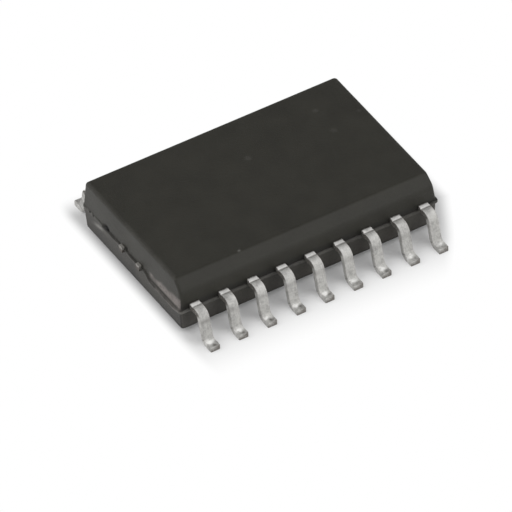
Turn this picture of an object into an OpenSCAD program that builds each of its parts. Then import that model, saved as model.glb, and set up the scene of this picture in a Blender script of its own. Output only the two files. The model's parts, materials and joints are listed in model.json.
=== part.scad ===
// Darlington transistor array in an 18-lead wide small-outline package, in millimetres.
// The origin is on the seating plane under the middle of the body and +Z is up.
// +X runs along the rows. The bevelled side at -Y has leads 1 to 9, and leads 10 to 18 come back along +Y.

/* [Lead rows] */
// Leads in each of the two rows
leads_per_row = 9; // [5:1:12]
// Spacing of the leads in a row
pitch = 1.27; // [1.1:0.01:1.5]
// Width of a lead outside the body
lead_w = 0.42; // [0.31:0.01:0.51]
// Thickness of the lead frame's sheet
sheet_t = 0.25; // [0.2:0.01:0.33]
// Flat shoulder of a lead, from the parting rim to its first bend
shoulder_l = 0.33; // [0.28:0.01:0.45]
// Inside radius of both bends of a lead
bend_r = 0.145; // [0.1:0.005:0.2]
// Lean of a lead's leg from upright, in degrees
leg_lean = 13; // [0:1:20]
// Flat sole of a lead's foot, from its heel bend to its tip
foot_l = 0.37; // [0.3:0.01:0.6]
// Stubs that the trimmed dam bar leaves on both sides of the shoulder
dam_out = 0.04; // [0.02:0.005:0.08]
// Length of those stubs along the lead
dam_l = 0.14; // [0.08:0.01:0.2]
// Distance of those stubs from the parting rim
dam_gap = 0.08; // [0.02:0.01:0.1]

/* [Body] */
// Body past the centre line of the last lead in a row
end_margin = 0.695; // [0.6:0.005:0.9]
// Width of the body over its parting rim
body_w = 7.5; // [7.3:0.05:8.2]
// Gap between the seating plane and the body
standoff = 0.2; // [0.1:0.01:0.3]
// Moulding under the lead frame
lower_h = 0.97; // [0.9:0.01:1.1]
// Moulding over the lead frame
upper_h = 1.03; // [0.95:0.01:1.2]
// How far the parting rim stands out from both mould halves
rim_out = 0.08; // [0.04:0.01:0.12]
// Thickness of the parting rim, which is squeezed between the mould halves
rim_t = 0.18; // [0.1:0.01:0.2]
// Width of the flats that take the sharpness off the rim's edges
rim_edge = 0.03; // [0.01:0.005:0.04]
// Draft of the upper half's sides, in degrees
upper_draft = 5; // [2:0.5:10]
// Draft of the lower half's sides, in degrees
lower_draft = 3; // [2:0.5:10]
// Width of the bevel that marks the side of lead 1
bevel_w = 0.45; // [0.25:0.01:0.75]
// Height of that bevel
bevel_h = 0.43; // [0.25:0.01:0.6]
// Rounding of the bevel's two edges
bevel_r = 0.2; // [0.05:0.01:0.25]
// Rounding of the upper and lower edges
edge_r = 0.06; // [0.03:0.01:0.1]
// Rounding of the four upright corners
corner_r = 0.13; // [0.05:0.01:0.2]

/* [Chip and its pad] */
// Length of the silicon chip
chip_l = 3.2; // [2.8:0.1:3.6]
// Width of the silicon chip
chip_w = 2; // [1.6:0.1:2.2]
// Thickness of the silicon chip
chip_t = 0.3; // [0.2:0.01:0.4]
// Thickness of the glue line under the chip
glue_t = 0.03; // [0.02:0.005:0.05]
// Glue that shows round the chip
glue_edge = 0.06; // [0.02:0.01:0.1]
// Chip pad past the chip on each side
pad_edge = 0.3; // [0.15:0.05:0.4]
// Drop of the chip pad below the leads
pad_drop = 0.2; // [0.1:0.01:0.3]
// Length over which a tie bar slopes down to the pad
drop_l = 0.3; // [0.2:0.05:0.5]
// Width of a tie bar, two of which hold the pad at each end of the body
tie_w = 0.24; // [0.15:0.01:0.35]
// Spacing of the two tie bars
tie_pitch = 1.28; // [0.8:0.02:1.6]
// Cut end of a tie bar past the parting rim
tie_stub = 0.03; // [0.01:0.01:0.08]

/* [Inner leads] */
// Length of a lead that stays narrow inside the parting rim
neck_l = 0.3; // [0.2:0.05:0.4]
// Anchor on both sides of a lead, which keeps it from being pulled out
anchor_out = 0.11; // [0.05:0.01:0.16]
// Length of that anchor
anchor_l = 0.45; // [0.3:0.05:0.6]
// Spacing of the lead tips beside the chip pad
inner_pitch = 0.78; // [0.6:0.01:0.9]
// Width of an inner tip
inner_w = 0.36; // [0.3:0.01:0.45]
// Length of the straight inner tip that takes the wire
inner_l = 0.4; // [0.3:0.05:0.5]
// Gap between the chip pad and the inner tips
inner_gap = 0.25; // [0.2:0.05:0.4]

/* [Bond wires] */
// Thickness of a bond wire
wire_d = 0.05; // [0.03:0.005:0.06]
// Diameter of the ball bond on the chip
ball_d = 0.12; // [0.09:0.01:0.15]
// Height of the ball bond
ball_h = 0.04; // [0.03:0.005:0.06]
// Rise of a wire over the chip
loop_h = 0.26; // [0.2:0.01:0.4]
// Radius of a wire's turns
loop_r = 0.08; // [0.06:0.01:0.1]
// Length of the flat bond on the lead
stitch_l = 0.12; // [0.08:0.01:0.2]
// Distance of the bonds from the chip's edges
bond_edge = 0.18; // [0.1:0.01:0.25]

/* [Hidden] */
lead_count = 2 * leads_per_row;

// Heights from the seating plane
sheet_z = standoff + lower_h;
sheet_top = sheet_z + sheet_t;
body_top = sheet_top + upper_h;
rim_low = sheet_z + (sheet_t - rim_t) / 2;
rim_high = rim_low + rim_t;
pad_z = sheet_z - pad_drop;
pad_top = pad_z + sheet_t;
chip_z = pad_top + glue_t;
chip_top = chip_z + chip_t;

// Half sizes in plan
half_l = (leads_per_row - 1) * pitch / 2 + end_margin;
half_w = body_w / 2;
pad_half_l = chip_l / 2 + pad_edge;
pad_half_w = chip_w / 2 + pad_edge;

// Side view of a lead: centre of each bend and the straight leg between them
bend_mid = bend_r + sheet_t / 2;
knee_y = half_w + shoulder_l;
knee_z = sheet_top - sheet_t / 2 - bend_mid;
leg_l = (knee_z + 2 * bend_mid * sin(leg_lean) - bend_mid - sheet_t / 2) / cos(leg_lean);
heel_y = knee_y + 2 * bend_mid * cos(leg_lean) + leg_l * sin(leg_lean);
heel_z = bend_mid + sheet_t / 2;

// Plan of an inner lead, as distances from the middle of the body
neck_y = half_w - neck_l;
anchor_y = neck_y - anchor_l;
inner_y = pad_half_w + inner_gap;

// Spacing of the bonds along the chip
bond_pitch = (chip_l - 2 * bond_edge) / (leads_per_row - 1);

// Facets of the moulded edges and of the wires
corner_steps = 4;
edge_steps = 3;
wire_sides = 8;
$fn = 48;

// Sweep through closed rings that all have the same number of points
module loft(rings) {
  n = len(rings[0]);
  last = len(rings) - 1;
  points = [for (r = rings) for (p = r) p];
  sides = [
    for (i = [0:last - 1])
      for (j = [0:n - 1])
        let (k = (j + 1) % n)
          for (f = [[i * n + j, (i + 1) * n + k, i * n + k], [i * n + j, (i + 1) * n + j, (i + 1) * n + k]]) f
  ];
  first_cap = [for (j = [0:n - 1]) j];
  last_cap = [for (j = [n - 1:-1:0]) last * n + j];
  polyhedron(points, concat([first_cap], sides, [last_cap]));
}

// Outline of the body at one height, inset from the rim's outline, with the bevelled side's inset apart
function outline(z, inset, near_inset) =
  let (
    x = half_l - inset - corner_r,
    far = half_w - inset - corner_r,
    near = -(half_w - near_inset - corner_r)
  )
  [
    for (c = [[x, far, 0], [-x, far, 90], [-x, near, 180], [x, near, 270]])
      for (k = [0:corner_steps])
        let (a = c[2] + 90 * k / corner_steps)
          [c[0] + corner_r * cos(a), c[1] + corner_r * sin(a), z]
  ];

// Inset of a rounded edge at a distance below its flat face
function edge_inset(below) =
  below >= edge_r ? 0 : edge_r - sqrt(edge_r * edge_r - (edge_r - below) * (edge_r - below));

// Inset of the two halves' drafted sides at a height
function lower_inset(z) =
  rim_out + (rim_low - z) * tan(lower_draft) + edge_inset(z - standoff);
function upper_inset(z) =
  rim_out + (z - rim_high) * tan(upper_draft) + edge_inset(body_top - z);

// Bevelled side as inset and height: the corner is where two slopes meet, and an arc rounds it
bevel_slope = atan(bevel_h / bevel_w);
bevel_z = body_top - bevel_h;
bevel_low = [rim_out + (bevel_z - rim_high) * tan(upper_draft), bevel_z];
bevel_high = [bevel_low[0] + bevel_w, body_top];
function corner_arc(corner, from, to, r) =
  let (reach = r * tan((to - from) / -2))
  [
    for (k = [0:edge_steps])
      let (
        start = corner - reach * [cos(from), sin(from)],
        centre = start + r * [sin(from), -cos(from)],
        a = from + (to - from) * k / edge_steps
      )
        centre + r * [-sin(a), cos(a)]
  ];
bevel_side = concat(
  corner_arc(bevel_low, 90 - upper_draft, bevel_slope, bevel_r),
  corner_arc(bevel_high, bevel_slope, 0, bevel_r)
);

// One-piece moulding before anything is set into it
module moulding() {
  lower_rings = [
    for (k = [0:edge_steps])
      let (z = standoff + edge_r * (1 - cos(90 * k / edge_steps)))
        outline(z, lower_inset(z), lower_inset(z))
  ];
  rim_rings = [
    for (s = [
      [rim_low, rim_out],
      [rim_low, rim_edge],
      [rim_low + rim_edge, 0],
      [rim_high - rim_edge, 0],
      [rim_high, rim_edge],
      [rim_high, rim_out]
    ]) outline(s[0], s[1], s[1])
  ];
  upper_rings = [for (s = bevel_side) outline(s[1], upper_inset(s[1]), s[0])];
  loft(concat(lower_rings, rim_rings, upper_rings));
}

// Moulded body, with a fitting cavity for everything that it was moulded round
module body() {
  color("DimGray") difference() {
    moulding();
    inside();
  }
}

module inside() {
  chip_pad();
  chip_glue();
  chip();
  for (i = [1:lead_count]) {
    lead(i);
    wire(i);
  }
}

// Place in the rows: the second row is the first one turned half round
module in_row(i) {
  rotate(i > leads_per_row ? 180 : 0) children();
}
function place(i) = (i - 1) % leads_per_row - (leads_per_row - 1) / 2;

// Gull wing in its side view, with x outwards and y up
module gull_wing() {
  translate([neck_y, sheet_z]) square([knee_y - neck_y, sheet_t]);
  translate([knee_y, knee_z]) rotate(leg_lean) {
    bend(90 - leg_lean);
    translate([bend_r, -leg_l]) square([sheet_t, leg_l]);
  }
  translate([heel_y, heel_z]) rotate(180 + leg_lean) bend(90 - leg_lean);
  translate([heel_y, 0]) square([foot_l, sheet_t]);
}

module bend(turn) {
  outer_r = bend_r + sheet_t;
  reach = 2 * outer_r;
  intersection() {
    difference() {
      circle(outer_r);
      circle(bend_r);
    }
    polygon([[0, 0], [reach, 0], [reach, reach], reach * [cos(turn), sin(turn)]]);
  }
}

// Flat part of a lead: shoulder, dam bar stubs, neck and anchor, and the finger that reaches the chip pad.
// Each entry is half a width and the place along the lead where it holds.
module flat_lead(at) {
  x = at * pitch;
  tip_x = at * inner_pitch;
  dam_y = half_w + dam_gap;
  outer = [
    [lead_w / 2, -knee_y],
    [lead_w / 2, -dam_y - dam_l],
    [lead_w / 2 + dam_out, -dam_y - dam_l],
    [lead_w / 2 + dam_out, -dam_y],
    [lead_w / 2, -dam_y],
    [lead_w / 2, -neck_y],
    [lead_w / 2 + anchor_out, -neck_y],
    [lead_w / 2 + anchor_out, -anchor_y]
  ];
  finger = [[inner_w / 2, -inner_y - inner_l], [inner_w / 2, -inner_y]];
  translate([0, 0, sheet_z]) linear_extrude(sheet_t) polygon(concat(
    [for (p = outer) [x + p[0], p[1]]],
    [for (p = finger) [tip_x + p[0], p[1]]],
    [for (k = [len(finger) - 1:-1:0]) [tip_x - finger[k][0], finger[k][1]]],
    [for (k = [len(outer) - 1:-1:0]) [x - outer[k][0], outer[k][1]]]
  ));
}

// Lead, stamped and bent from the lead frame's sheet
module lead(i) {
  color("Silver") in_row(i) {
    flat_lead(place(i));
    translate([place(i) * pitch, 0, 0]) rotate([90, 0, -90]) linear_extrude(lead_w, center = true) gull_wing();
  }
}

// Pad that carries the chip, with two tie bars to each end of the body
module chip_pad() {
  tie_end = half_l + tie_stub;
  tie_side = [
    [0, pad_z],
    [pad_half_l, pad_z],
    [pad_half_l + drop_l, sheet_z],
    [tie_end, sheet_z],
    [tie_end, sheet_top],
    [pad_half_l + drop_l, sheet_top],
    [pad_half_l, pad_top],
    [0, pad_top]
  ];
  color("Goldenrod") {
    translate([-pad_half_l, -pad_half_w, pad_z]) cube([2 * pad_half_l, 2 * pad_half_w, sheet_t]);
    for (turn = [0, 180], y = [-tie_pitch / 2, tie_pitch / 2])
      rotate(turn) translate([0, y + tie_w / 2]) rotate([90, 0, 0]) linear_extrude(tie_w) polygon(tie_side);
  }
}

// Silver-filled glue that holds the chip on its pad
module chip_glue() {
  size = [chip_l + 2 * glue_edge, chip_w + 2 * glue_edge, glue_t];
  color("LightGray") translate([-size[0] / 2, -size[1] / 2, pad_top]) cube(size);
}

// Silicon chip with the eight transistor pairs and their diodes
module chip() {
  color("SlateGray") translate([-chip_l / 2, -chip_w / 2, chip_z]) cube([chip_l, chip_w, chip_t]);
}

// Bond wire: a ball on the chip, an upright start, a loop and a flat bond on the lead's inner tip
module wire(i) {
  from = [place(i) * bond_pitch, -chip_w / 2 + bond_edge];
  to = [place(i) * inner_pitch, -inner_y - inner_l / 2];
  run = norm(to - from);
  along = (to - from) / run;
  low = sheet_top + wire_d / 2;
  fall = atan2(low - chip_top - loop_h, run - stitch_l);
  path = concat(
    [[[0, chip_top], 90, ball_d]],
    [[[0, chip_top + ball_h / 2], 90, ball_d]],
    [[[0, chip_top + ball_h], 90, wire_d]],
    wire_turn([0, chip_top + loop_h], 90, fall, 4),
    wire_turn([run - stitch_l, low], fall, 0, 2),
    [[[run, low], 0, wire_d]]
  );
  color("Gold") in_row(i) loft([for (p = path) wire_ring(from, along, p)]);
}

// Stations of a wire round a corner of its route: place, heading and thickness
function wire_turn(corner, from, to, steps) =
  let (
    side = from > to ? 1 : -1,
    reach = loop_r * tan(abs(to - from) / 2),
    centre = corner - reach * [cos(from), sin(from)] + side * loop_r * [sin(from), -cos(from)]
  )
  [
    for (k = [0:steps])
      let (a = from + (to - from) * k / steps)
        [centre + side * loop_r * [-sin(a), cos(a)], a, wire_d]
  ];

// Ring of points at one station, with a flat side down where the wire lies on the lead
function wire_ring(from, along, p) =
  let (r = p[2] / 2 / cos(180 / wire_sides), a = p[1])
  [
    for (k = [0:wire_sides - 1])
      let (
        t = 360 * (k + 0.5) / wire_sides,
        s = p[0][0] - r * sin(t) * sin(a),
        z = p[0][1] + r * sin(t) * cos(a),
        across = r * cos(t)
      )
        [from[0] + s * along[0] - across * along[1], from[1] + s * along[1] + across * along[0], z]
  ];

body();
chip_pad();
chip_glue();
chip();
for (i = [1:lead_count]) lead(i);
for (i = [1:lead_count]) wire(i);
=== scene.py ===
import json
import math
from types import SimpleNamespace

import bpy
import numpy as np
from mathutils import Matrix, Vector

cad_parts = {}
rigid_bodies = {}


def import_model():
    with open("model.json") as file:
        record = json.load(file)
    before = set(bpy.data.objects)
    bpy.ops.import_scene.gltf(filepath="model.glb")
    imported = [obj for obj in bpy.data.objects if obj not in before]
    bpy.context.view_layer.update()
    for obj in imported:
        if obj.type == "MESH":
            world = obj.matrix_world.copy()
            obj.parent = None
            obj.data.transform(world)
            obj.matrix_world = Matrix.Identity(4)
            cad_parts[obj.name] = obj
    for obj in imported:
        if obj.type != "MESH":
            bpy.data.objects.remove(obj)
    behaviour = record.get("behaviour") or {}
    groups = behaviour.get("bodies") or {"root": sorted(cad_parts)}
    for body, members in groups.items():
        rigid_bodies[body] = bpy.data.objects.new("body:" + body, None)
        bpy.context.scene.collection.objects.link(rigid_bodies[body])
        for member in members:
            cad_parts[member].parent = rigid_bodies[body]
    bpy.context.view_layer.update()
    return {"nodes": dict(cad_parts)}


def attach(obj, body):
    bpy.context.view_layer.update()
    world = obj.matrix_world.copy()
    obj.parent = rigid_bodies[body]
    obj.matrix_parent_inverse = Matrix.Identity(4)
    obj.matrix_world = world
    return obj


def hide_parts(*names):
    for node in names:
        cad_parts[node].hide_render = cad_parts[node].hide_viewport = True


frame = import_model()
nodes = frame["nodes"]
mm = 0.001  # sizes below are in millimetres, and p is the dictionary of a piece or finish
print("frame loaded:", len(nodes), "solids")


# Smooth noise from -1 to 1: random heights on a wrapped lattice, blended between the eight nearest ones
def softNoise(points, size, seed):
    wrap = 16
    lattice = np.random.default_rng(seed).uniform(-1, 1, (wrap, wrap, wrap))
    cell = points / size
    low = np.floor(cell).astype(int)
    part = cell - low
    part = part * part * (3 - 2 * part)
    total = np.zeros(points.shape[:-1])
    for corner in np.ndindex(2, 2, 2):
        k = (low + corner) % wrap
        weight = np.prod(np.where(corner, part, 1 - part), axis=-1)
        total += weight * lattice[k[..., 0], k[..., 1], k[..., 2]]
    return total


# A bell: 1 in the middle, falling to nearly 0 at twice the half width
def bell(at, middle, half):
    return np.exp(-(((at - middle) / half) ** 2))


# A step from 0 to 1 between two values, with a smooth start and end
def step(at, low, high):
    t = np.clip((at - low) / (high - low), 0, 1)
    return t * t * (3 - 2 * t)


# Steps added up, each (amount, from, to)
def ramps(marks, at):
    return sum(amount * step(at, low, high) for amount, low, high in marks)


# Bells added up, each (amount, place, half width)
def bells(marks, at):
    return sum(amount * bell(at, place, half) for amount, place, half in marks)


# Round spots added up, each (amount, place along the wall, half length, height, half height)
def spots(marks, along, up):
    return sum(amount * bell(along, place, half) * bell(up, height, halfUp)
               for amount, place, half, height, halfUp in marks)


# A grid of points becomes one closed piece: rows follow each other along the first axis, columns go round
# the second, and each end row closes on its middle. Marks are numbers on the same grid, for the finishes.
def gridPiece(name, grid, marks):
    rows, columns = grid.shape[:2]
    here = np.arange(rows * columns).reshape(rows, columns)
    beside = np.roll(here, -1, axis=1)
    quads = np.stack([here[:-1], beside[:-1], beside[1:], here[1:]], axis=-1).reshape(-1, 4)
    ends = np.full((2, columns), rows * columns)
    ends[1] += 1
    fans = np.concatenate([
        np.stack([beside[0], here[0], ends[0]], axis=-1),
        np.stack([here[-1], beside[-1], ends[1]], axis=-1)])
    points = np.concatenate([grid.reshape(-1, 3), grid[[0, -1]].mean(axis=1)])
    corners = points[np.concatenate([quads[:, :3], quads[:, [0, 2, 3]], fans])]
    if np.einsum("ij,ij", corners[:, 0], np.cross(corners[:, 1], corners[:, 2])) < 0:
        quads, fans = quads[:, ::-1], fans[:, ::-1]  # faces point outwards
    mesh = bpy.data.meshes.new(name)
    mesh.vertices.add(len(points))
    mesh.vertices.foreach_set("co", (points * mm).ravel())
    mesh.loops.add(quads.size + fans.size)
    mesh.loops.foreach_set("vertex_index", np.concatenate([quads.ravel(), fans.ravel()]))
    mesh.polygons.add(len(quads) + len(fans))
    mesh.polygons.foreach_set("loop_start", np.concatenate(
        [np.arange(len(quads)) * 4, quads.size + np.arange(len(fans)) * 3]))
    mesh.polygons.foreach_set("use_smooth", np.ones(len(quads) + len(fans), bool))
    for mark, values in marks.items():
        layer = mesh.attributes.new(mark, "FLOAT", "POINT")
        layer.data.foreach_set("value", np.concatenate([values.ravel(), values[[0, -1]].mean(axis=1)]))
    mesh.update(calc_edges=True)
    mesh.validate()
    piece = bpy.data.objects.new(name, mesh)
    bpy.context.scene.collection.objects.link(piece)
    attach(piece, "root")
    return piece


# A socket that can stand in sums and products, so that a mask reads as an expression
class Sock:
    def __init__(self, tree, out=None):
        self.tree, self.out = tree, out

    # Any node: its settings are set first, then the values or links of its sockets
    def node(self, kind, settings=None, sockets=None, out=0):
        made = self.tree.nodes.new(kind)
        for key, value in (settings or {}).items():
            setattr(made, key, value)
        for key, value in (sockets or {}).items():
            if isinstance(value, Sock):
                self.tree.links.new(value.out, made.inputs[key])
            else:
                made.inputs[key].default_value = value
        return Sock(self.tree, made.outputs[out] if len(made.outputs) else None)

    def sums(self, operation, first, second=0.0):
        return self.node("ShaderNodeMath", {"operation": operation}, {0: first, 1: second})

    def __add__(self, other):
        return self.sums("ADD", self, other)

    def __radd__(self, other):
        return self.sums("ADD", other, self)

    def __sub__(self, other):
        return self.sums("SUBTRACT", self, other)

    def __rsub__(self, other):
        return self.sums("SUBTRACT", other, self)

    def __mul__(self, other):
        return self.sums("MULTIPLY", self, other)

    def __rmul__(self, other):
        return self.sums("MULTIPLY", other, self)

    # A smooth step of this value from 0 to 1 between two limits
    def between(self, low, high):
        return self.node("ShaderNodeMapRange", {"interpolation_type": "SMOOTHSTEP"},
                         {"Value": self, "From Min": low, "From Max": high})

    # This value mixes two colours
    def blend(self, first, second):
        return self.node("ShaderNodeMix", {"data_type": "RGBA"}, {0: self, 6: first, 7: second}, out=2)


def grey(r, g=None, b=None):
    return (r, r if g is None else g, r if b is None else b, 1.0)


def newFinish(name):
    finish = bpy.data.materials.new(name)
    finish.use_nodes = True
    finish.node_tree.nodes.clear()
    return finish, Sock(finish.node_tree)


# Object coordinates in millimetres
def places(maker):
    at = maker.node("ShaderNodeTexCoord", out="Object")
    return maker.node("ShaderNodeVectorMath", {"operation": "SCALE"}, {0: at, "Scale": 1 / mm})


# One coordinate of a place: X, Y or Z
def axisOf(maker, at, axis):
    return maker.node("ShaderNodeSeparateXYZ", {}, {0: at}, out=axis)


def noise(maker, at, scale, detail=2.0, rough=0.5):
    sockets = {"Vector": at, "Scale": scale, "Detail": detail, "Roughness": rough}
    return maker.node("ShaderNodeTexNoise", {}, sockets)


def mark(maker, name):
    return maker.node("ShaderNodeAttribute", {"attribute_name": name}, out="Fac")


def bump(maker, height, depth):
    return maker.node("ShaderNodeBump", {}, {"Strength": 1.0, "Distance": depth * mm, "Height": height})


def surface(maker, sockets):
    shader = maker.node("ShaderNodeBsdfPrincipled", {}, sockets)
    maker.node("ShaderNodeOutputMaterial", {}, {"Surface": shader})


# Black moulding compound: dull, faintly mottled, with a lighter copy below the parting that is painted light
# from the floor, pale flash that also carries painted light, worn edges, and painted shade in the grooves. A
# scuff is a faint rubbed spot on the top face: x, y, size and amount.
compound = dict(
    dark=grey(0.0166, 0.0157, 0.0117), light=grey(0.0244, 0.0232, 0.0177),
    # painted light: below the parting the same compound gets lighter colours, standing in for light from the
    # floor
    litLowDark=grey(0.0255, 0.0230, 0.0200), litLowLight=grey(0.0460, 0.0425, 0.0350),
    parting=1.29, partingFade=0.02,
    # the flash colour also paints light on the walls, and the darkest colour also paints shade
    worn=grey(0.29, 0.258, 0.245), flashAndPaintedLight=grey(0.29, 0.284, 0.266), dirtAndShade=grey(0.004),
    shine=0.28, dull=0.5, patchScale=0.9, grainScale=11.0, fillerScale=34.0, relief=0.016, topZ=2.45,
    scuffs=[(0.31, 1.30, 0.2, 0.06), (3.9, 2.25, 0.17, 0.055),
            (3.9, 0.88, 0.2, 0.04), (5.3, 1.33, 0.13, 0.045)],
)


def mouldedFinish(p):
    finish, maker = newFinish("mouldedCompound")
    at = places(maker)
    patches = noise(maker, at, p["patchScale"], 3.0, 0.55)
    grain = noise(maker, at, p["grainScale"], 3.0, 0.6)
    filler = noise(maker, at, p["fillerScale"])
    worn = mark(maker, "worn") * grain.between(0.2, 0.5)
    # the pale mark: flash, and dust with painted light on the walls
    flashAndPaintedLight = mark(maker, "flashAndPaintedLight") * grain.between(0.15, 0.5)
    # the dark mark: dirt and painted shade
    dirtAndShade = mark(maker, "dirtAndShade")
    for x, y, size, amount in p["scuffs"]:
        spot = {0: at, 1: (x, y, p["topZ"])}
        near = maker.node("ShaderNodeVectorMath", {"operation": "DISTANCE"}, spot, out="Value")
        flashAndPaintedLight = flashAndPaintedLight + (near + (grain - 0.5) * size).between(size, 0.25 * size) * amount
    tone = (patches * 0.55 + grain * 0.3 + filler * 0.15).between(0.3, 0.7)
    above = axisOf(maker, at, "Z").between(p["parting"] - p["partingFade"], p["parting"] + p["partingFade"])
    # painted light below the parting: the lighter copy of the compound
    colour = above.blend(tone.blend(p["litLowDark"], p["litLowLight"]), tone.blend(p["dark"], p["light"]))
    colour = flashAndPaintedLight.blend(worn.blend(colour, p["worn"]), p["flashAndPaintedLight"])
    colour = dirtAndShade.blend(colour, p["dirtAndShade"])
    dull = p["dull"] + (patches - 0.5) * 0.12 + (grain - 0.5) * 0.16 + (worn + flashAndPaintedLight) * 0.15
    relief = bump(maker, grain * 0.4 + filler * 0.6, p["relief"])
    surface(maker, {"Base Color": colour, "Roughness": dull,
                    "Normal": relief, "Specular IOR Level": p["shine"]})
    return finish


# Matt tin plate: fine grain, drawn lines along the strip, painted highlights on the shoulder, knee, heel and
# foot, a pale painted highlight on the foot, stains and painted shade, and bare metal where the frame was cut
tin = dict(
    # the near white colour paints highlights, the palest a highlight on the foot, and the dark one stains and
    # shade
    bright=grey(0.63, 0.625, 0.606), dim=grey(0.41, 0.404, 0.391), paintedHighlight=grey(0.92, 0.915, 0.90),
    rubbedAndHighlight=grey(0.95, 0.945, 0.93), stain=grey(0.11, 0.10, 0.088), bare=grey(0.225, 0.212, 0.195),
    dull=0.82, drawnStretch=(16.0, 1.2, 1.2), drawnScale=2.5, grainScale=14.0, stainScale=3.0, relief=0.006,
)


def tinFinish(p):
    finish, maker = newFinish("mattTin")
    at = places(maker)
    stretch = {"Vector": at, "Scale": p["drawnStretch"]}
    along = maker.node("ShaderNodeMapping", {"vector_type": "POINT"}, stretch)
    drawn = noise(maker, along, p["drawnScale"], 2.0, 0.6)
    crystal = noise(maker, at, p["grainScale"], 3.0, 0.6)
    stain = noise(maker, at, p["stainScale"])
    cut = mark(maker, "cut") * crystal.between(0.25, 0.5)
    # painted highlights, stains with painted shade, and a pale painted highlight on the foot
    paintedHighlight = mark(maker, "paintedHighlight") * stain.between(0.1, 0.5)
    stainsAndShade = mark(maker, "stainsAndShade") * crystal.between(0.2, 0.5)
    rubbedAndHighlight = mark(maker, "rubbedAndHighlight") * crystal.between(0.15, 0.45)
    tone = (drawn * 0.25 + crystal * 0.45 + stain * 0.3).between(0.36, 0.60)
    colour = paintedHighlight.blend(tone.blend(p["dim"], p["bright"]), p["paintedHighlight"])
    colour = rubbedAndHighlight.blend(colour, p["rubbedAndHighlight"])
    colour = stainsAndShade.blend(cut.blend(colour, p["bare"]), p["stain"])
    dull = p["dull"] + (crystal - 0.5) * 0.25 + (stain - 0.5) * 0.12 - paintedHighlight * 0.06
    metal = 1.0 - (cut + stainsAndShade) * 0.25 - rubbedAndHighlight * 0.7
    relief = bump(maker, crystal * 0.6 + drawn * 0.4, p["relief"])
    surface(maker, {"Base Color": colour, "Roughness": dull, "Metallic": metal, "Normal": relief})
    return finish


# Copper alloy of the lead frame, grey where the tie bars were sheared at the ends of the body, with a dark
# smear on the lower part of the cut
frameMetal = dict(
    alloy=grey(0.62, 0.40, 0.27), alloyDark=grey(0.5, 0.31, 0.2),
    sheared=grey(0.30, 0.29, 0.27), smeared=grey(0.10, 0.088, 0.078),
    dull=0.36, lineScale=9.0, relief=0.004, bodyEnd=5.7, smearTop=1.3,
)


def frameFinish(p):
    finish, maker = newFinish("frameMetal")
    at = places(maker)
    reach = maker.sums("ABSOLUTE", axisOf(maker, at, "X"))
    lines = noise(maker, at, p["lineScale"], 3.0, 0.6)
    ends = reach.between(p["bodyEnd"] - 0.1, p["bodyEnd"])
    height = axisOf(maker, at, "Z") + (lines - 0.5) * 0.3
    clean = height.between(p["smearTop"] - 0.03, p["smearTop"] + 0.05)
    inner = lines.blend(p["alloy"], p["alloyDark"])
    colour = ends.blend(inner, clean.blend(p["smeared"], p["sheared"]))
    dull = p["dull"] + (lines - 0.5) * 0.2 + ends * 0.25
    relief = bump(maker, lines, p["relief"])
    surface(maker, {"Base Color": colour, "Roughness": dull, "Metallic": 1.0 - ends * 0.5, "Normal": relief})
    return finish


# Silver-filled die glue: pale grey flakes in a cloudy resin
glue = dict(
    resin=grey(0.42, 0.41, 0.4), flake=grey(0.72, 0.71, 0.69),
    flakeScale=28.0, cloudScale=6.0, relief=0.01,
)


def glueFinish(p):
    finish, maker = newFinish("silverGlue")
    at = places(maker)
    flakes = maker.node("ShaderNodeTexVoronoi", {}, {"Vector": at, "Scale": p["flakeScale"]})
    cloud = noise(maker, at, p["cloudScale"], 3.0)
    colour = (flakes * 0.6 + cloud * 0.4).between(0.2, 0.7).blend(p["resin"], p["flake"])
    relief = bump(maker, flakes, p["relief"])
    surface(maker, {"Base Color": colour, "Roughness": 0.35 + cloud * 0.3, "Metallic": 0.6, "Normal": relief})
    return finish


# Silicon chip: blue-grey glass over rows of transistor cells and aluminium tracks
silicon = dict(
    cell=(0.34, 0.42), track=0.05, cellBlue=grey(0.10, 0.12, 0.17), cellGrey=grey(0.16, 0.15, 0.16),
    aluminium=grey(0.62, 0.62, 0.6), haze=grey(0.2, 0.16, 0.22), hazeScale=5.0,
)


def siliconFinish(p):
    finish, maker = newFinish("silicon")
    at = places(maker)
    layout = {"Vector": at, "Scale": 1.0, "Mortar Size": p["track"] / 2,
              "Brick Width": p["cell"][0], "Row Height": p["cell"][1]}
    colours = {"Color1": p["cellBlue"], "Color2": p["cellGrey"], "Mortar": p["aluminium"]}
    cells = maker.node("ShaderNodeTexBrick", {"offset": 0.0}, {**layout, **colours})
    tracks = maker.node("ShaderNodeTexBrick", {"offset": 0.0}, layout, out="Fac")
    haze = noise(maker, at, p["hazeScale"])
    surface(maker, {"Base Color": (haze * 0.25).blend(cells, p["haze"]),
                    "Roughness": 0.14 + haze * 0.1 + tracks * 0.15, "Metallic": 0.35 + tracks * 0.6})
    return finish


# Gold bond wire with faint drawing marks
goldWire = dict(gold=grey(0.86, 0.62, 0.22), pale=grey(0.95, 0.75, 0.36), markScale=30.0)


def wireFinish(p):
    finish, maker = newFinish("goldWire")
    marks = noise(maker, places(maker), p["markScale"])
    surface(maker, {"Base Color": marks.blend(p["gold"], p["pale"]),
                    "Roughness": 0.16 + marks * 0.18, "Metallic": 1.0})
    return finish


finishes = dict(
    body=mouldedFinish(compound), lead=tinFinish(tin), chip_pad=frameFinish(frameMetal),
    chip_glue=glueFinish(glue), chip=siliconFinish(silicon), wire=wireFinish(goldWire))
print("finishes made:", len(finishes))

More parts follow.
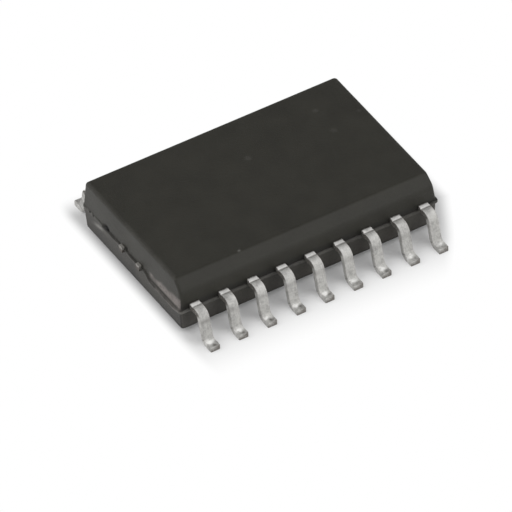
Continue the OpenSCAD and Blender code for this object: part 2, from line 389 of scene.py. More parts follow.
# Moulded body
bodySize = dict(
    halfLength=5.775, halfWidth=3.75, bottom=0.2, top=2.45,
    rimLow=1.205, rimHigh=1.385, rimOut=0.08,
    lowerDraft=3.0, upperDraft=5.0,
    bevelWidth=0.45, bevelHeight=0.43, bevelLowRound=0.42, bevelHighRound=0.2,
    edgeRound=0.1, cornerRound=0.13,
    endColumns=200, sideColumns=220, cornerColumns=12,
    flashSpread=0.28, grooveFrom=0.66, grooveFade=0.12, grooveDepth=0.4,
    sideDrop=0.14, endDrop=1.7, dropReach=0.45, unevenness=0.004,
)

# Wear, pale dust with painted light, and painted shade on the body, in the forms that ramps, bells and spots
# take. Places are y on the end that shows, and -y for the band and nearHalf. Other places are heights, apart
# from the x limits of the pale on the long sides, which are counted along x from the middle, blotchFar, which
# is a y, and edgeChip, an x and a y on the top face.
bodyWear = dict(
    grooves=[(0.9, 1.86, 0.13), (0.8, 0.44, 0.1), (0.7, -0.85, 0.09),
             (-0.8, 2.36, 0.2), (0.5, 3.45, 0.1), (-0.8, 2.98, 0.3)],
    otherEndGrooves=[(0.7, 0.86, 0.12), (0.7, -0.42, 0.1)],
    ledgeGaps=[(0.5, 0.44, 0.1), (0.5, -0.85, 0.09), (0.3, -1.15, 0.16)], farLedgeLost=[(0.4, 2.1, 2.4)],
    pits=[(1.3, 1.87, 0.18, 1.38, 0.12), (1.0, 0.40, 0.11, 1.44, 0.07), (0.35, -0.86, 0.08, 1.47, 0.07),
          (0.7, -0.84, 0.07, 1.25, 0.05), (1.2, 3.11, 0.05, 1.32, 0.05), (1.1, 2.84, 0.05, 1.32, 0.05)],
    pitDepth=0.05,
    bandTop=1.50, bandFade=0.1, bandFoot=(1.23, 1.34), bandRagged=0.06,
    bandRises=[(0.08, 1.7, 2.4), (0.13, 2.6, 3.5)], bandStarts=[(0.45, 1.25, 1.5), (0.55, 1.7, 2.1)],
    nearHalf=(1.2, 1.8), patches=[(0.5, -1.5, 0.13, 1.47, 0.07), (0.06, 1.0, 0.18, 1.28, 0.07)],
    scrape=(0.9, 2.5, 0.33, 1.0, 0.1), scrapeSlope=0.27, smudges=[(0.12, 1.9, 0.25, 1.02, 0.1)],
    rimSmears=[(0.03, 1.5, 0.5)], rimScuffs=[(0.15, 3.05, 0.32)],
    # where the pale dust with painted light starts and fades
    paleFrom=1.4, paleLower=[(0.2, 2.05, 2.25)], paleTopFade=(2.05, 2.4),
    sidePaleTop=1.2, sidePaleFrom=(3.5, 5.0), edgeChip=(-2.72, -3.12),
    # the first pair is where the end that shows turns darker towards the bottom
    lowDarkening=(0.3, 0.85), blotchTop=(0.95, 1.1), blotchFar=1.9,
)


# Columns round the body: each has its share of the half length and half width, and the way its wall faces.
# Straight runs keep one direction, and a corner turns through a quarter circle.
def bodyColumns(p):
    turns = np.radians(np.linspace(0, 90, p["cornerColumns"] + 2)[1:-1])
    sides = []
    for quarter, count in enumerate([p["endColumns"], p["sideColumns"]] * 2):
        face = np.array([[1, 0], [0, 1], [-1, 0], [0, -1]])[quarter]
        along = np.linspace(-1, 1, count)[:, None] * np.array([-face[1], face[0]])
        straight = np.concatenate([face + along, np.repeat(face[None], count, axis=0)], axis=1)
        corner = face + np.array([-face[1], face[0]])
        angle = turns + quarter * math.pi / 2
        bend = np.stack([np.full_like(angle, corner[0]), np.full_like(angle, corner[1]),
                         np.cos(angle), np.sin(angle)], axis=1)
        sides += [straight, bend]
    return np.concatenate(sides)


# An arc that rounds a corner between two straight lines, from one line's angle to the other's
def cornerArc(corner, turn, fromAngle, toAngle, steps):
    back = turn * math.tan((fromAngle - toAngle) / 2)
    start = corner - back * np.array([math.cos(fromAngle), math.sin(fromAngle)])
    centre = start + turn * np.array([math.sin(fromAngle), -math.cos(fromAngle)])
    a = np.linspace(fromAngle, toAngle, steps)
    return centre + turn * np.stack([-np.sin(a), np.cos(a)], axis=1)


# Rows up the body, each a height with the inset of its plain sides and of the bevelled side, how far it is
# drawn in over the flat faces, and its place up the rim: drafted walls, quarter circles on the edges and two
# arcs that round the bevel
def bodyRows(p):
    lowerTan, upperTan = (math.tan(math.radians(p[k])) for k in ("lowerDraft", "upperDraft"))
    r, bottom, top, rimLow, rimHigh = (p[k] for k in ("edgeRound", "bottom", "top", "rimLow", "rimHigh"))

    def lowerInset(z):
        below = np.clip(r - (z - bottom), 0, r)
        return p["rimOut"] + (rimLow - z) * lowerTan + r - np.sqrt(r * r - below * below)

    def upperInset(z):
        above = np.clip(r - (top - z), 0, r)
        return p["rimOut"] + (z - rimHigh) * upperTan + r - np.sqrt(r * r - above * above)

    capShare = np.array([0.03, 0.2, 0.4, 0.6, 0.8, 0.93, 0.985])
    cap = np.ones(len(capShare))
    lowEdge = bottom + r * (1 - np.cos(np.radians(np.linspace(0, 90, 7))))
    lowWall = np.concatenate([np.linspace(lowEdge[-1] + 0.02, rimLow - 0.03, 18),
                              rimLow - np.array([0.012, 0.003])])
    rimUp = np.array([0.02, 0.06, 0.13, 0.22, 0.34, 0.45, 0.55, 0.62, 0.69, 0.76, 0.83, 0.9, 0.95, 0.98])
    rimZ = rimLow + (rimHigh - rimLow) * rimUp
    rimIn = p["rimOut"] * (1 - (1 - np.abs(2 * rimUp - 1) ** 5) ** 0.6)
    slope = math.atan2(p["bevelHeight"], p["bevelWidth"])
    wall = math.radians(90 - p["upperDraft"])
    bevelFoot = top - p["bevelHeight"]
    lowCorner = np.array([p["rimOut"] + (bevelFoot - rimHigh) * upperTan, bevelFoot])
    highCorner = lowCorner + [p["bevelWidth"], p["bevelHeight"]]
    lowArc = cornerArc(lowCorner, p["bevelLowRound"], wall, slope, 9)
    highArc = cornerArc(highCorner, p["bevelHighRound"], slope, 0.0, 11)
    bevel = lowArc[-1] + np.linspace(0.08, 0.92, 6)[:, None] * (highArc[0] - lowArc[-1])
    highWall = np.concatenate([rimHigh + np.array([0.003, 0.012]),
                               np.linspace(rimHigh + 0.03, lowArc[0, 1] - 0.02, 13)])
    nearUpper = np.concatenate([np.stack([upperInset(highWall), highWall], axis=1), lowArc, bevel, highArc])
    lowZ = np.concatenate([bottom * cap, lowEdge, lowWall])
    z = np.concatenate([lowZ, rimZ, nearUpper[:, 1], top * cap])
    lowIn = np.concatenate([lowerInset(lowZ), rimIn])
    inset = np.concatenate([lowIn, upperInset(np.minimum(nearUpper[:, 1], top)), upperInset(top) * cap])
    nearInset = np.concatenate([lowIn, nearUpper[:, 0], highArc[-1, 0] * cap])
    share = np.concatenate([capShare, np.ones(len(z) - 2 * len(cap)), capShare[::-1]])
    rim = np.full(len(z), -1.0)
    rim[len(lowZ):len(lowZ) + len(rimZ)] = rimUp
    return z, inset, nearInset, share, rim


# How the parting rim is left, column by column: the share of the full flash on its ledge, and how deep the
# groove above the ledge is cut. Noise goes round the body, and the end that shows is broken at its tie bars.
def flashLeft(p, wear, x, y):
    at = np.stack([x, y, np.zeros_like(x)], axis=1)
    coarse, fine = softNoise(at, 0.7, 11), softNoise(at, 0.2, 12)
    end = step(np.abs(x), p["halfLength"] - 0.12, p["halfLength"] - 0.06)
    seen, other = end * (x < 0), end * (x > 0)
    broken = (0.2 + 0.5 * softNoise(at, 0.35, 13)) * (1 - 0.6 * step(-y, *wear["nearHalf"]))
    groove = 0.8 - 0.55 * end + 0.15 * fine + seen * (broken + bells(wear["grooves"], y))
    groove += other * bells(wear["otherEndGrooves"], y)
    ledge = 0.8 + p["flashSpread"] * (0.6 * coarse + 0.4 * fine)
    ledge -= seen * (bells(wear["ledgeGaps"], y) + ramps(wear["farLedgeLost"], y))
    return np.clip(ledge, -0.2, 1.0), np.clip(groove, 0, 1.4)


# How far the parting lies below its middle height, column by column, in parts of sideDrop: level with the CAD
# solid on the ends, lower along the long sides, and lowest on the near half of the end that shows
def partingDrop(p, columns, rimX, rimY):
    nearLeft = (rimX < 0) * step(-rimY, 0.95, 1.5)
    nearLeft = nearLeft * (p["endDrop"] + (1 - p["endDrop"]) * step(-rimY, 3.2, 3.7))
    towardEnd = step(np.abs(rimX), p["halfLength"] - 0.7, p["halfLength"] - 0.1)
    longSide = 1 - towardEnd * (1 - nearLeft)
    return columns[:, 2] ** 2 * nearLeft + columns[:, 3] ** 2 * longSide


# The body's surface: columns round it times rows up it, set in by the rows' insets and by what flashLeft
# leaves of the rim. The walls are a little uneven, the parting drops, and the end that shows is pitted.
def bodyWall(p, wear):
    columns = bodyColumns(p)
    z, inset, nearInset, share, rim = bodyRows(p)
    r, faceX, faceY = p["cornerRound"], columns[:, 2], columns[:, 3]
    rimX = columns[:, 0] * (p["halfLength"] - r) + faceX * r
    rimY = columns[:, 1] * (p["halfWidth"] - r) + faceY * r
    ledge, groove = flashLeft(p, wear, rimX, rimY)
    isRim, onWall = (rim >= 0)[:, None], (share == 1)[:, None]
    inGroove = step(rim, p["grooveFrom"], p["grooveFrom"] + p["grooveFade"])[:, None]
    cutBack = np.minimum(ledge, 1 - groove) - p["grooveDepth"] * groove
    keep = ledge * (1 - inGroove) + cutBack * inGroove
    wallIn = np.where(isRim, p["rimOut"] - (p["rimOut"] - inset[:, None]) * keep, inset[:, None])
    nearIn = np.where(isRim, wallIn, nearInset[:, None])
    halfX = p["halfLength"] - wallIn - r
    farY, nearY = p["halfWidth"] - wallIn - r, p["halfWidth"] - nearIn - r
    toFar = (columns[:, 1] + 1) / 2
    x = columns[:, 0] * halfX + faceX * r
    y = -nearY + toFar * (nearY + farY) + faceY * r
    grid = np.stack([x, y, np.broadcast_to(z[:, None], x.shape)], axis=-1)
    middle = np.array([0, (grid[-1, :, 1].max() + grid[-1, :, 1].min()) / 2])
    grid[..., :2] = middle + (grid[..., :2] - middle) * share[:, None, None]
    coarse, fine = 0.5 + 0.5 * softNoise(grid, 0.9, 21), 0.5 + 0.5 * softNoise(grid, 0.25, 22)
    uneven = p["unevenness"] * (coarse + 0.4 * fine)
    nearTop = p["top"] - 0.01
    sideWalls = onWall & (z < nearTop)[:, None]
    grid[..., 0] -= np.where(sideWalls, faceX * uneven, 0)
    grid[..., 1] -= np.where(sideWalls, faceY * uneven, 0)
    grid[..., 2] -= np.where(grid[..., 2] > nearTop, uneven * 0.7, 0)
    level = grid[..., 2].copy()  # heights before the parting drops
    middleZ = (p["rimLow"] + p["rimHigh"]) / 2
    drop = p["sideDrop"] * partingDrop(p, columns, rimX, rimY)
    grid[..., 2] -= drop * np.clip(1 - np.abs(level - middleZ) / p["dropReach"], 0, 1)
    endWall = step(-faceX, 0.6, 0.85) * onWall
    pits = endWall * spots(wear["pits"], grid[..., 1], grid[..., 2])
    grid[..., 0] += wear["pitDepth"] * pits
    rough, cloudy = 0.5 + 0.5 * softNoise(grid, 0.16, 31), 0.5 + 0.5 * softNoise(grid, 1.1, 33)
    return SimpleNamespace(
        grid=grid, x=grid[..., 0], y=grid[..., 1], z=grid[..., 2], level=level, middleZ=middleZ, faceY=faceY,
        isRim=isRim, inGroove=inGroove, onLedge=isRim * (1 - inGroove), onWall=onWall, endWall=endWall,
        ledge=ledge, groove=groove, pits=pits, rough=rough, cloudy=cloudy)


# Worn places on the end that shows: a pale band above the rim on its near half, two patches and the rim there
def wornMarks(wear, wall):
    ragged = softNoise(wall.grid, 0.28, 32)
    top = wear["bandTop"] + ramps(wear["bandRises"], -wall.y) + wear["bandRagged"] * ragged
    band = ramps(wear["bandStarts"], -wall.y) * step(wall.z, *wear["bandFoot"])
    band = band * (1 - step(wall.z, top - wear["bandFade"], top + wear["bandFade"]))
    rim = 0.2 * wall.isRim * step(-wall.y, *wear["nearHalf"]) * wall.rough
    worn = wall.endWall * (band * (0.46 + 0.46 * wall.rough) + rim + spots(wear["patches"], wall.y, wall.z))
    return np.clip(worn, 0, 1)


# Pale dust and painted light on the walls: over the parting on the end that shows, below it on the other
# sides
def dustAndPaintedLightMarks(wear, wall):
    paleFrom = wear["paleFrom"] - ramps(wear["paleLower"], wall.y)
    # painted light from the left, with pale dust, on the end that shows
    end = (0.03 + 0.085 * wall.cloudy) * step(wall.level, paleFrom, paleFrom + 0.1)
    end = end * (1 - 0.35 * step(wall.z, *wear["paleTopFade"]))
    # painted light from the floor, with pale dust, low on the other sides
    sides = 0.06 + 0.13 * step(np.abs(wall.x), *wear["sidePaleFrom"]) * wall.cloudy
    sides = sides * step(-wall.z, -wear["sidePaleTop"], 0.05 - wear["sidePaleTop"])
    return wall.endWall * end + (wall.onWall - wall.endWall) * sides


# Pale flash and painted light: left on the rim's ledge, scraped and smeared on the end that shows, dust with
# painted light, and wear with a painted highlight on edges
def flashAndPaintedLightMarks(p, wear, wall):
    nearCorner = step(-wall.x, 4.6, 5.6) * step(-wall.y, 2.8, 3.4)
    ledge = wall.onLedge * np.clip(wall.ledge, 0, 1) * (0.02 + 0.06 * wall.rough + 0.2 * nearCorner)
    ledge = ledge + wall.onLedge * np.abs(wall.faceY) * (0.015 + 0.11 * wall.rough)
    slanted = wall.z + wear["scrapeSlope"] * (wall.y - wear["scrape"][1])
    scrape = spots([wear["scrape"]], wall.y, slanted) + spots(wear["smudges"], wall.y, wall.z)
    rim = bells(wear["rimSmears"], wall.y) + bells(wear["rimScuffs"], wall.y) * (1 - np.clip(wall.pits, 0, 1))
    streak = wall.endWall * (scrape + wall.isRim * rim)
    chipX, chipY = wear["edgeChip"]
    chip = 0.5 * bell(wall.x, chipX, 0.045) * bell(wall.y, chipY, 0.035) * (wall.z > p["top"] - 0.15)
    # painted highlight with pale wear along the top edges of the end and far walls
    edge = 0.06 * bell(wall.z, p["top"] - 0.05, 0.05) * wall.onWall * step(wall.faceY, -0.9, -0.5)
    rubbedAndHighlight = edge * wall.cloudy * wall.rough
    return np.clip(ledge + streak + dustAndPaintedLightMarks(wear, wall) + chip + rubbedAndHighlight, 0, 1)


# Dirt and painted shade: painted shade in the groove, in the pits, at the foot of the walls and over the
# groove on the long sides, darker towards the bottom of the end that shows, and dark blotches there
def dirtAndShadeMarks(p, wear, wall):
    # painted shade in the groove and the pits, at the foot of the walls, and over the groove on the long
    # sides
    dirtAndShade = wall.isRim * wall.inGroove * (0.05 + 0.4 * wall.groove) + 0.9 * wall.pits
    dirtAndShade = dirtAndShade + 0.8 * wall.onWall * bell(wall.z, p["bottom"], 0.1)
    shadeOverGroove = step(wall.z, wall.middleZ - p["sideDrop"], wall.middleZ + 0.02)
    shadeOverGroove = shadeOverGroove * (1 - step(wall.z, wall.middleZ + 0.05, wall.middleZ + 0.28))
    dirtAndShade = dirtAndShade + 0.5 * np.abs(wall.faceY) * shadeOverGroove * (1 - wall.onLedge)
    # darker towards the bottom of the end that shows
    low = 0.38 * (1 - step(wall.z, *wear["lowDarkening"])) * (0.6 + 0.8 * wall.cloudy)
    blotches = step(softNoise(wall.grid, 0.5, 34), 0.05, 0.55) * step(wear["blotchFar"] - wall.y, 0, 0.6)
    blotches = 0.4 * (1 - step(wall.z, *wear["blotchTop"])) * blotches
    return np.clip(dirtAndShade + wall.endWall * (low + blotches), 0, 1)


def makeBody(p, wear):
    wall = bodyWall(p, wear)
    marks = dict(worn=wornMarks(wear, wall), flashAndPaintedLight=flashAndPaintedLightMarks(p, wear, wall), dirtAndShade=dirtAndShadeMarks(p, wear, wall))
    piece = gridPiece("moulded_body", wall.grid, marks)
    piece.data.materials.append(finishes["body"])
    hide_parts("body")
    print("body:", len(piece.data.polygons), "faces")


makeBody(bodySize, bodyWear)

# Gull wing leads
leadSize = dict(
    perRow=9, pitch=1.27, width=0.42, thick=0.25, middleZ=1.295,
    knee=4.08, bend=0.27, lean=13.0, foot=0.37,
    damFrom=3.83, damTo=3.97, damOut=0.015,
    anchorFrom=3.0, anchorTo=3.45, anchorOut=0.11, planCorner=0.006,
    fingerFrom=1.55, fingerTo=1.95, fingerWidth=0.36, fingerPitch=0.78,
    edge=0.03, tipRound=0.055, tipFace=0.6, acrossPoints=7,
    crease=3.915, creaseDepth=0.03, creaseHalf=0.034, press=0.12, root=3.715,
    wander=0.012, ripple=0.003, rippleSize=0.12, scuffDepth=0.02, scuffSize=0.11,
)

# Wear, painted highlights and painted shade on the leads. Places on a foot are (across, along from the heel),
# and from a pair named range a value is drawn for each lead. The blots are the dark spots on the feet of a
# row, from its first lead on.
leadWear = dict(
    blots=(0.9, 0.95, 0.9, 0.9, 0.75, 0.5, 0.7, 0.5, 0.35), blotAt=(0.06, 0.24), blotHalf=0.095,
    # painted highlights on the feet and heels, and their random amounts
    spotShift=0.03, highlightRange=(0.8, 1.1), highlightAt=(-0.03, 0.05), glintAt=(-0.03, 0.01), highlightHalf=0.11,
    kneeRange=(0.0, 0.25), heelRange=(0.3, 0.7), heelAt=-0.02, heelHalf=0.1,
    # darker along the edges and at the top of the leg, and painted shade at the root and in the crease
    legTopRange=(0.1, 0.6), legTopZ=1.0, legTopHalf=0.09, edgeDarkening=0.9, rootShade=0.95, creaseShade=0.55,
)


# Middle line of a lead in its side view: a flat run, a bend down, a leaning leg, a bend back and a flat foot.
# Gives the distance from the middle of the body, the height and the angle below level at each station.
def leadPath(p):
    turn = math.radians(90 - p["lean"])
    bend, anchor, damFrom, damTo = p["bend"], p["anchorTo"], p["damFrom"], p["damTo"]
    flat = np.concatenate([
        p["fingerFrom"] + p["edge"] * (1 - np.cos(np.radians(np.linspace(0, 90, 4)))),
        np.linspace(p["fingerFrom"] + 0.06, anchor - 0.03, 22),
        anchor + np.array([-0.01, 0.0, 0.006, 0.03]),
        np.linspace(anchor + 0.06, damFrom - 0.02, 8),
        damFrom + np.array([-0.006, 0.0, 0.01, 0.02]),
        np.linspace(damFrom + 0.03, damTo - 0.03, 9),
        damTo + np.array([-0.02, -0.01, 0.0, 0.006]),
        np.linspace(damTo + 0.012, p["knee"] - 0.004, 12)])
    angles = np.linspace(0, turn, 18)
    back = angles[::-1]
    heelZ = bend + p["thick"] / 2
    kneeOut, kneeZ = p["knee"] + bend * math.sin(turn), p["middleZ"] - bend * (1 - math.cos(turn))
    length = (kneeZ - heelZ + bend * math.cos(turn)) / math.sin(turn)
    leg = np.linspace(0, length, 14)[1:-1]
    heel = kneeOut + length * math.cos(turn) + bend * math.sin(turn)
    tipArc = 1 - np.sin(np.radians(np.linspace(15, 90, 6)))
    foot = np.concatenate([np.linspace(0.02, p["foot"] - p["tipRound"], 16),
                           p["foot"] - p["tipRound"] * tipArc])
    out = np.concatenate([flat, p["knee"] + bend * np.sin(angles), kneeOut + leg * math.cos(turn),
                          heel - bend * np.sin(back), heel + foot])
    up = np.concatenate([np.full(len(flat), p["middleZ"]), p["middleZ"] - bend * (1 - np.cos(angles)),
                         kneeZ - leg * math.sin(turn), heelZ - bend * np.cos(back),
                         np.full(len(foot), p["thick"] / 2)])
    down = np.concatenate([np.zeros(len(flat)), angles, np.full(len(leg), turn), back, np.zeros(len(foot))])
    return out, up, down


# Half width of the strip and the sideways place of its middle along the flat run: narrow at the finger's end,
# slanting out to the anchor, then the neck, the dam bar stubs and the plain leg
def leadPlan(p, out, place):
    half, finger, corner = p["width"] / 2, p["fingerWidth"] / 2, p["planCorner"]
    anchor, stub = half + p["anchorOut"], half + p["damOut"]
    stations = [p["fingerTo"], p["anchorFrom"], p["anchorTo"], p["anchorTo"] + corner,
                p["damFrom"] - corner, p["damFrom"] + corner, p["damTo"] - corner, p["damTo"] + corner]
    wide = np.interp(out, stations, [finger, anchor, anchor, half, half, stub, stub, half])
    middle = place * np.interp(out, stations[:2], [p["fingerPitch"], p["pitch"]])
    return wide, middle


# Ring round the strip: four rounded corners joined by points across the broad faces. Each point has its share
# of the half width and half thickness and its angle on the corner's arc.
def leadRing(p):
    arc = np.linspace(0, 90, 5)
    over = np.linspace(1, -1, p["acrossPoints"] + 2)[1:-1]
    ones, level = np.ones(len(arc)), np.ones(len(over))
    shareX = np.concatenate([ones, over, -ones, -ones, -over, ones])
    shareZ = np.concatenate([ones, level, ones, -ones, -level, -ones])
    angle = np.concatenate([arc, 90 * level, arc + 90, arc + 180, 270 * level, arc + 270])
    return shareX, shareZ, np.radians(angle)


# One lead's surface: the ring is carried along the middle line, with its ends rounded, a pressed crease
# behind the knee, dents in the foot and a ripple on the leg. Below the knee a lead wanders to one side.
def leadStrip(p, number, chance):
    place = (number - 1) % p["perRow"] - (p["perRow"] - 1) / 2
    out, up, down = (line[:, None] for line in leadPath(p))
    wide, middle = leadPlan(p, out, place)
    shareX, shareZ, angle = leadRing(p)
    r, tip = p["edge"], out[-1]
    isTip = out > tip - 0.2
    endRound = np.where(isTip, p["tipRound"], r)
    fromEnds = np.where(down == 0, np.minimum(out - out[0], tip - out), 1.0)
    within = np.clip(endRound - fromEnds, 0, endRound)
    endIn = endRound - np.sqrt(np.maximum(endRound ** 2 - within ** 2, 0))
    across = shareX * (wide - endIn - r) + r * np.cos(angle)
    high = shareZ * (p["thick"] / 2 - endIn - r) + r * np.sin(angle)
    upper, flat, toFoot = shareZ > 0, down == 0, out - (tip - p["foot"])
    onFoot = upper * flat * step(toFoot, 0.0, 0.06) * (1 - step(toFoot, p["foot"] - 0.06, p["foot"] - 0.02))
    at = np.stack([across + 3.1 * number, np.broadcast_to(out, across.shape), np.zeros_like(across)], axis=-1)
    dents = 0.5 + 0.5 * softNoise(at, p["scuffSize"], 42)
    pressed = step(out, p["crease"] - p["press"], p["crease"])
    pressed = upper * flat * (pressed * (1 - step(out, p["crease"], p["crease"] + p["creaseHalf"])))
    high = high - p["creaseDepth"] * pressed - p["scuffDepth"] * onFoot * dents
    drift = chance.uniform(-1, 1) * p["wander"] * step(out, p["knee"], tip)
    grid = np.stack([middle + drift + across, out + high * np.sin(down), up + high * np.cos(down)], axis=-1)
    onLeg = (out > p["knee"]) & (out < tip - 0.05)
    ripple = softNoise(grid + number * 7.3, p["rippleSize"], 41) * p["ripple"]
    grid[..., 1] += ripple * onLeg * np.sin(down) * shareZ
    return SimpleNamespace(
        grid=grid, out=out, up=up, down=down, across=across, high=high, angle=angle, at=at,
        upper=upper, flat=flat, toFoot=toFoot, onFoot=onFoot, beforeLeg=out < tip - p["foot"] - 0.2,
        tipEnd=isTip & (within > 0.2 * p["tipRound"]))


# Bare metal: the lower part of the sheared tip and the cut faces of the dam bar stubs
def cutMarks(p, strip):
    half = p["width"] / 2
    trimmed = (strip.out > p["damFrom"] - 0.02) & (strip.out < p["damTo"] + 0.02)
    stub = trimmed * step(np.abs(strip.across), half + 0.3 * p["damOut"], half + 0.8 * p["damOut"])
    return strip.tipEnd * step(strip.across * 0.4 - strip.high, -0.17, -0.01) + stub * 0.6


# The marks of one lead: bare metal, painted highlights on the shoulder, knee, heel and foot, a pale painted
# highlight on the foot, painted shade in the crease and at the root, dark spots on the foot, and darker tin
# along the edges down to the knee and at the top of the leg
def leadMarks(p, wear, number, strip, chance):
    along = strip.toFoot + 0.05 * softNoise(strip.at, 0.1, 43)
    across = strip.across + 0.06 * softNoise(strip.at, 0.1, 44)
    shift, highlightAmount = chance.uniform(-wear["spotShift"], wear["spotShift"], 2), chance.uniform(*wear["highlightRange"])

    # a round painted highlight on the foot
    def highlightSpot(place):
        spot = bell(along, place[1] + shift[0], wear["highlightHalf"])
        return highlightAmount * spot * bell(across, place[0] + shift[1], wear["highlightHalf"])

    crease = p["crease"]
    shoulder = strip.upper * strip.flat * (1 - step(strip.out, crease - 0.06, crease - 0.03))
    onKnee = (strip.down > 0) & (strip.out < strip.out[-1] - p["foot"] - 0.3)
    knee = strip.upper * (bell(strip.down, 0.5, 0.5) * onKnee)
    kneeTop = step(strip.out, crease + 0.06, crease + 0.15) * (1 - step(strip.down, 0.3, 0.8))
    # painted highlights on the shoulder, knee, heel and foot
    paintedHighlight = (0.9 + 0.1 * step(-strip.across, 0.0, 0.16)) * shoulder
    paintedHighlight = paintedHighlight + chance.uniform(*wear["kneeRange"]) * knee
    paintedHighlight = paintedHighlight + 0.22 * strip.upper * strip.beforeLeg * kneeTop
    paintedHighlight = paintedHighlight + 1.3 * strip.onFoot * highlightSpot(wear["highlightAt"])
    heel = strip.upper * bell(along, wear["heelAt"], wear["heelHalf"])
    paintedHighlight = paintedHighlight + chance.uniform(*wear["heelRange"]) * heel
    # a pale painted highlight on the foot by the heel
    rubbedAndHighlight = 0.6 * strip.upper * highlightSpot(wear["glintAt"])

    # painted shade in the crease
    creased = strip.upper * strip.flat * bell(strip.out, crease - 0.01, 1.8 * p["creaseHalf"])
    stainsAndShade = wear["creaseShade"] * creased * (0.6 + 0.4 * step(strip.across, -0.16, 0.0))
    blot = bell(along, wear["blotAt"][1] + shift[1], wear["blotHalf"])
    blot = blot * bell(across, wear["blotAt"][0] + shift[0], wear["blotHalf"])
    stainsAndShade = stainsAndShade + wear["blots"][(number - 1) % p["perRow"]] * strip.onFoot * blot
    # darker along the side edges down to the knee
    edges = step(np.abs(np.cos(strip.angle)), 0.55, 0.95) * (1 - step(strip.down, 0.6, 1.2)) * strip.beforeLeg
    # painted shade at the root, where the lead goes under the body
    root = strip.upper * (1 - step(strip.out, p["root"] - 0.015, p["root"] + 0.015))
    stainsAndShade = stainsAndShade + wear["edgeDarkening"] * edges + wear["rootShade"] * root
    # darker at the top of the leg
    legTop = strip.upper * (bell(strip.up, wear["legTopZ"], wear["legTopHalf"]) * (strip.down > 1.2))
    patchy = 0.6 + 0.4 * softNoise(strip.at, 0.15, 45)
    stainsAndShade = stainsAndShade + chance.uniform(*wear["legTopRange"]) * legTop * patchy
    marks = dict(cut=cutMarks(p, strip), paintedHighlight=paintedHighlight, stainsAndShade=stainsAndShade, rubbedAndHighlight=rubbedAndHighlight)
    return {name: np.clip(values * np.ones_like(strip.across), 0, 1) for name, values in marks.items()}


# One lead on its side of the body, with one more ring on the cut face of the tip
def makeLead(p, wear, number):
    chance = np.random.default_rng(100 + number)
    strip = leadStrip(p, number, chance)
    marks = leadMarks(p, wear, number, strip, chance)
    sign = 1 if number <= p["perRow"] else -1
    grid = strip.grid * [sign, -sign, 1]
    tipMiddle = grid[[-1]].mean(axis=1, keepdims=True)
    grid = np.concatenate([grid, tipMiddle + p["tipFace"] * (grid[[-1]] - tipMiddle)])
    marks = {name: np.concatenate([values, values[[-1]]]) for name, values in marks.items()}
    piece = gridPiece("lead_strip_%02d" % number, grid, marks)
    piece.data.materials.append(finishes["lead"])
    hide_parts("lead_%d" % number)
    return len(piece.data.polygons)


faces = [makeLead(leadSize, leadWear, number) for number in range(1, 2 * leadSize["perRow"] + 1)]
print("leads:", len(faces), "with", sum(faces), "faces")

# Solids inside the body keep their CAD shapes and take their finishes
for name, node in nodes.items():
    kind = name.split("_")[0] if name.startswith("wire") else name
    if kind in finishes and kind not in ("body", "lead"):
        for holder in node.material_slots:
            holder.material = finishes[kind]
print("inner solids dressed")

# Floor, lamps, world and camera. Each side of the shadow is the place where it starts to fade and how far the
# fade goes, and the slant is an end of it that leans: lean, place and fade.
studio = dict(
    floorSize=400.0, floorColour=0.70, shadowLift=0.08,
    left=(-5.5, 0.6), right=(6.4, 0.7), near=(-3.8, 2.85), far=(4.4, 1.3), slant=(0.5, 7.5, 0.8),
    skyLevel=0.30, skyEdge=(0.15, 0.45),
    top=dict(at=(-75, 15, 90), size=110, watts=0.070),
    front=dict(at=(50, -84, 92), size=140, watts=0.103),
)
shot = dict(
    azimuth=-28.6, elevation=41.2, roll=-3.372, distance=500.0,
    frameWidth=19.612, aimRight=-0.1974, aimUp=-1.0749, sensor=36.0, clip=(0.01, 5.0),
)


# White paper: it keeps the shadow close to the part and is plain white further out
def makeFloor(p):
    half = p["floorSize"] / 2 * mm
    corners = [(-half, -half, 0), (half, -half, 0), (half, half, 0), (-half, half, 0)]
    mesh = bpy.data.meshes.new("floor")
    mesh.from_pydata(corners, [], [(0, 1, 2, 3)])
    floor = bpy.data.objects.new("floor", mesh)
    bpy.context.scene.collection.objects.link(floor)
    finish, maker = newFinish("paleFloor")
    at = places(maker)
    x, y = axisOf(maker, at, "X"), axisOf(maker, at, "Y")
    left, right, near, far = p["left"], p["right"], p["near"], p["far"]
    lean, slantAt, slantFade = p["slant"]
    pastX = maker.sums("MAXIMUM", (left[0] - x) * (1 / left[1]), (x - right[0]) * (1 / right[1]))
    pastX = maker.sums("MAXIMUM", pastX, (x - y * lean - slantAt) * (1 / slantFade))
    pastY = maker.sums("MAXIMUM", (near[0] - y) * (1 / near[1]), (y - far[0]) * (1 / far[1]))
    pastX, pastY = (maker.sums("MAXIMUM", past, 0.0) for past in (pastX, pastY))
    away = maker.sums("SQRT", pastX * pastX + pastY * pastY)
    seen = maker.node("ShaderNodeLightPath", out="Is Camera Ray")
    glossy = maker.node("ShaderNodeLightPath", out="Is Glossy Ray")
    through = maker.node("ShaderNodeLightPath", out="Is Transmission Ray")
    shown = maker.sums("MINIMUM", seen + glossy + through, 1.0)
    paper = maker.node("ShaderNodeBsdfDiffuse", {}, {"Color": grey(p["floorColour"])})
    white = maker.node("ShaderNodeEmission", {}, {"Color": grey(1.0), "Strength": 1.0})
    clear = p["shadowLift"] + away.between(0.0, 1.0) * (1.0 - p["shadowLift"])
    mixed = maker.node("ShaderNodeMixShader", {}, {0: shown * clear, 1: paper, 2: white})
    maker.node("ShaderNodeOutputMaterial", {}, {"Surface": mixed})
    mesh.materials.append(finish)


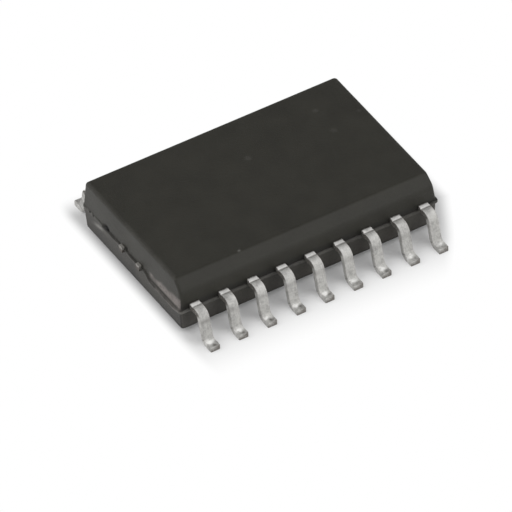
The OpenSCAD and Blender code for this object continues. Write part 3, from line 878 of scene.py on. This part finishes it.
def makeLamp(name, p):
    lamp = bpy.data.lights.new(name, "AREA")
    lamp.shape, lamp.size, lamp.energy = "DISK", p["size"] * mm, p["watts"]
    holder = bpy.data.objects.new(name, lamp)
    holder.location = Vector(p["at"]) * mm
    holder.rotation_euler = (-holder.location).to_track_quat("-Z", "Y").to_euler()
    bpy.context.scene.collection.objects.link(holder)


# White near the horizon, as a paper sweep is, and dim above it
def makeSky(p):
    sky = bpy.data.worlds.new("studioSky")
    sky.use_nodes = True
    sky.node_tree.nodes.clear()
    maker = Sock(sky.node_tree)
    height = axisOf(maker, maker.node("ShaderNodeTexCoord", out="Generated"), "Z")
    strength = 1.0 - height.between(*p["skyEdge"]) * (1.0 - p["skyLevel"])
    back = maker.node("ShaderNodeBackground", {}, {"Color": grey(1.0), "Strength": strength})
    maker.node("ShaderNodeOutputWorld", {}, {"Surface": back})
    bpy.context.scene.world = sky


# The camera looks down at the part from far off, turned by its roll
def makeCamera(p):
    a, e, roll = (math.radians(p[k]) for k in ("azimuth", "elevation", "roll"))
    back = Vector((math.sin(a) * math.cos(e), -math.cos(a) * math.cos(e), math.sin(e)))
    level = Vector((math.cos(a), math.sin(a), 0))
    steep = Vector((-math.sin(a) * math.sin(e), math.cos(a) * math.sin(e), math.cos(e)))
    right = level * math.cos(roll) + steep * math.sin(roll)
    up = back.cross(right)
    camera = bpy.data.cameras.new("camera")
    camera.sensor_width = p["sensor"]
    camera.lens = p["sensor"] * p["distance"] / p["frameWidth"]
    camera.clip_start, camera.clip_end = p["clip"]
    holder = bpy.data.objects.new("camera", camera)
    place = (back * p["distance"] + right * p["aimRight"] + up * p["aimUp"]) * mm
    holder.matrix_world = Matrix.Translation(place) @ Matrix((right, up, back)).transposed().to_4x4()
    bpy.context.scene.collection.objects.link(holder)
    bpy.context.scene.camera = holder


makeFloor(studio)
makeLamp("topLamp", studio["top"])
makeLamp("frontLamp", studio["front"])
makeSky(studio)
makeCamera(shot)
bpy.context.scene.view_settings.view_transform = "Standard"
print("studio ready")
